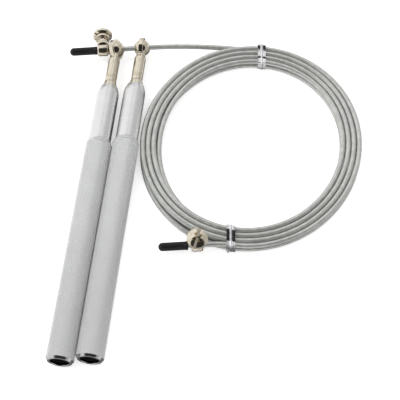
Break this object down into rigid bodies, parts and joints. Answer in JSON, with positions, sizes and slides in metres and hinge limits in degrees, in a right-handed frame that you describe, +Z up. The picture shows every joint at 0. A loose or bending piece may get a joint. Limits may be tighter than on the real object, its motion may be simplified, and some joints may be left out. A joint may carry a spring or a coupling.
{
  "type": "cable speed rope",
  "caption": "Jump rope with two knurled aluminium ball-bearing handles on swivel eyes, a coated steel cable coiled and tied, screw clamps and rubber end caps.",
  "frame": {"origin": "middle of the footprint of the laid-out rope, on the table plane", "axes": "+Z up from the table; +Y from the handles' open bottom ends towards their eyes (the handles lean 6.5 degrees from it); +X from the handles towards the coil"},
  "size_m": [0.1726, 0.2102, 0.0197],
  "materials": {
    "cable": "grey-silver steel strand seen through a clear glossy PVC coat",
    "grip": "satin anodised silver with fine diamond knurling",
    "sleeve": "smooth satin anodised silver",
    "nickel": "polished warm nickel plate",
    "rubber": "smooth black rubber, slightly glossy",
    "tie": "glossy metallised plastic strip over a soft wire",
    "bearing_steel": "ground bearing steel",
    "turned": "turned steel"
  },
  "bodies": {
    "rope": {"cable_coil": "cable", "tie_1": "tie", "tie_2": "tie"},
    "lead": {"cable_lead": "cable"},
    "rope_end": {"cable_end": "cable"},
    "clamp_1": {"clamp_collar_1": "nickel"},
    "screw_1": {"clamp_screw_1": "nickel"},
    "cap_1": {"end_cap_1": "rubber"},
    "clamp_2": {"clamp_collar_2": "nickel"},
    "screw_2": {"clamp_screw_2": "nickel"},
    "cap_2": {"end_cap_2": "rubber"},
    "ball_l": {"swivel_ball_l": "nickel"},
    "eye_l": {"eye_spindle_l": "nickel", "front_inner_race_l": "bearing_steel", "rear_inner_race_l": "bearing_steel", "inner_spacer_l": "turned", "spindle_washer_l": "turned", "spindle_nut_l": "bearing_steel"},
    "balls_l": {"front_balls_l": "bearing_steel", "rear_balls_l": "bearing_steel"},
    "handle_l": {"grip_l": "grip", "sleeve_l": "sleeve", "front_outer_race_l": "bearing_steel", "rear_outer_race_l": "bearing_steel", "outer_spacer_l": "turned", "snap_ring_l": "bearing_steel"},
    "ball_r": {"swivel_ball_r": "nickel"},
    "eye_r": {"eye_spindle_r": "nickel", "front_inner_race_r": "bearing_steel", "rear_inner_race_r": "bearing_steel", "inner_spacer_r": "turned", "spindle_washer_r": "turned", "spindle_nut_r": "bearing_steel"},
    "balls_r": {"front_balls_r": "bearing_steel", "rear_balls_r": "bearing_steel"},
    "handle_r": {"grip_r": "grip", "sleeve_r": "sleeve", "front_outer_race_r": "bearing_steel", "rear_outer_race_r": "bearing_steel", "outer_spacer_r": "turned", "snap_ring_r": "bearing_steel"}
  },
  "joints": [
    {"name": "lead_lift", "type": "hinge", "parent": "rope", "child": "lead", "pos_m": [0.00814, 0.09483, 0.00373], "axis": [0.0188, 0.9998, 0], "range_deg": [0, 40]},
    {"name": "lead_bend", "type": "hinge", "parent": "lead", "child": "rope_end", "pos_m": [-0.0118, 0.09441, 0.00577], "axis": [-0.0523, 0.9986, 0], "range_deg": [0, 40]},
    {"name": "clamp_1_swing", "type": "hinge", "parent": "rope_end", "child": "clamp_1", "pos_m": [-0.06448, 0.09061, 0.0075], "axis": [0.9973, 0.0732, 0], "range_deg": [0, 100]},
    {"name": "screw_1_turn", "type": "hinge", "parent": "clamp_1", "child": "screw_1", "pos_m": [-0.06448, 0.09061, 0.0075], "axis": [-0.0728, 0.9919, -0.1045], "range_deg": [0, 270]},
    {"name": "cap_1_pull", "type": "slide", "parent": "rope_end", "child": "cap_1", "axis": [-0.9973, -0.0732, 0], "range_m": [0, 0.016]},
    {"name": "clamp_2_slide", "type": "slide", "parent": "rope", "child": "clamp_2", "axis": [0.9981, 0.061, 0], "range_m": [-0.0015, 0]},
    {"name": "screw_2_turn", "type": "hinge", "parent": "clamp_2", "child": "screw_2", "pos_m": [-0.008, -0.0367, 0.0052], "axis": [0.008, -0.1303, 0.9914], "range_deg": [0, 270]},
    {"name": "cap_2_pull", "type": "slide", "parent": "rope", "child": "cap_2", "axis": [-0.9981, -0.061, 0], "range_m": [0, 0.016]},
    {"name": "ball_l_turn", "type": "hinge", "parent": "rope_end", "child": "ball_l", "pos_m": [-0.05665, 0.09119, 0.0075], "axis": [-0.9973, -0.0732, 0], "range_deg": [0, 150]},
    {"name": "eye_l_tilt", "type": "hinge", "parent": "ball_l", "child": "eye_l", "pos_m": [-0.05665, 0.09119, 0.0075], "axis": [0.1132, 0.9936, 0], "range_deg": [-10, 50]},
    {"name": "handle_l_spin", "type": "hinge", "parent": "eye_l", "child": "handle_l", "pos_m": [-0.05665, 0.09119, 0.0075], "axis": [0.1132, 0.9936, 0], "continuous": true},
    {"name": "balls_l_orbit", "type": "hinge", "parent": "eye_l", "child": "balls_l", "pos_m": [-0.05665, 0.09119, 0.0075], "axis": [0.1132, 0.9936, 0], "continuous": true},
    {"name": "ball_r_turn", "type": "hinge", "parent": "rope_end", "child": "ball_r", "pos_m": [-0.04117, 0.09232, 0.0075], "axis": [-0.9973, -0.0732, 0], "range_deg": [0, 150]},
    {"name": "eye_r_tilt", "type": "hinge", "parent": "ball_r", "child": "eye_r", "pos_m": [-0.04117, 0.09232, 0.0075], "axis": [0.1132, 0.9936, 0], "range_deg": [-30, 30]},
    {"name": "handle_r_spin", "type": "hinge", "parent": "eye_r", "child": "handle_r", "pos_m": [-0.04117, 0.09232, 0.0075], "axis": [0.1132, 0.9936, 0], "continuous": true},
    {"name": "balls_r_orbit", "type": "hinge", "parent": "eye_r", "child": "balls_r", "pos_m": [-0.04117, 0.09232, 0.0075], "axis": [0.1132, 0.9936, 0], "continuous": true}
  ],
  "couplings": [
    {"joint": "balls_l_orbit", "follows": "handle_l_spin", "ratio": 0.604},
    {"joint": "balls_r_orbit", "follows": "handle_r_spin", "ratio": 0.604}
  ]
}
